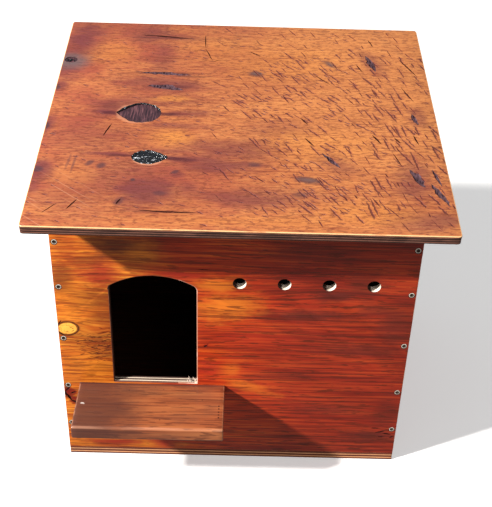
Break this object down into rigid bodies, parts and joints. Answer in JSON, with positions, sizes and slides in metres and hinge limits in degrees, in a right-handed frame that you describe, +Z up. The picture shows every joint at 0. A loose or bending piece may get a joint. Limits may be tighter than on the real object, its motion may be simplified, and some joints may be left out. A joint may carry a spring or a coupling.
{
  "type": "nest box",
  "caption": "Stained plywood nest box with an arched doorway above a landing shelf, a row of vent holes and a sloping overhanging roof hinged at the back.",
  "frame": {"origin": "centre of the underside of the floor panel", "axes": "+Z up; the doorway faces -Y; +X to the right when facing the doorway's wall from outside"},
  "size_m": [0.5, 0.4798, 0.476],
  "materials": {
    "roof_ply": "orange-brown stain under worn varnish",
    "front_ply": "red-brown stain under gloss varnish",
    "side_ply": "red-brown stain under satin varnish",
    "floor_ply": "stained plywood with layered edges",
    "shelf_timber": "dark walnut-stained solid timber, satin",
    "black_resin": "glossy black filler",
    "zinc_screws": "dull zinc plate",
    "hinge_steel": "zinc-plated steel"
  },
  "bodies": {
    "box": {"floor_panel": "floor_ply", "front_panel": "front_ply", "left_side_panel": "side_ply", "right_side_panel": "side_ply", "back_panel": "side_ply", "landing_shelf": "shelf_timber", "front_left_screws": "zinc_screws", "front_right_screws": "zinc_screws", "back_left_screws": "zinc_screws", "back_right_screws": "zinc_screws", "floor_screws": "zinc_screws", "shelf_screws": "zinc_screws", "left_hinge_wall_leaf": "hinge_steel", "right_hinge_wall_leaf": "hinge_steel", "left_hinge_pin": "hinge_steel", "right_hinge_pin": "hinge_steel", "hinge_wall_screws": "zinc_screws"},
    "roof": {"roof_panel": "roof_ply", "roof_knot_filler": "black_resin", "left_hinge_roof_leaf": "hinge_steel", "right_hinge_roof_leaf": "hinge_steel", "hinge_roof_screws": "zinc_screws"}
  },
  "joints": [
    {"name": "roof_hinge", "type": "hinge", "parent": "box", "child": "roof", "pos_m": [0, 0.1875, 0.45837], "axis": [-1, 0, 0], "range_deg": [0, 100]}
  ]
}
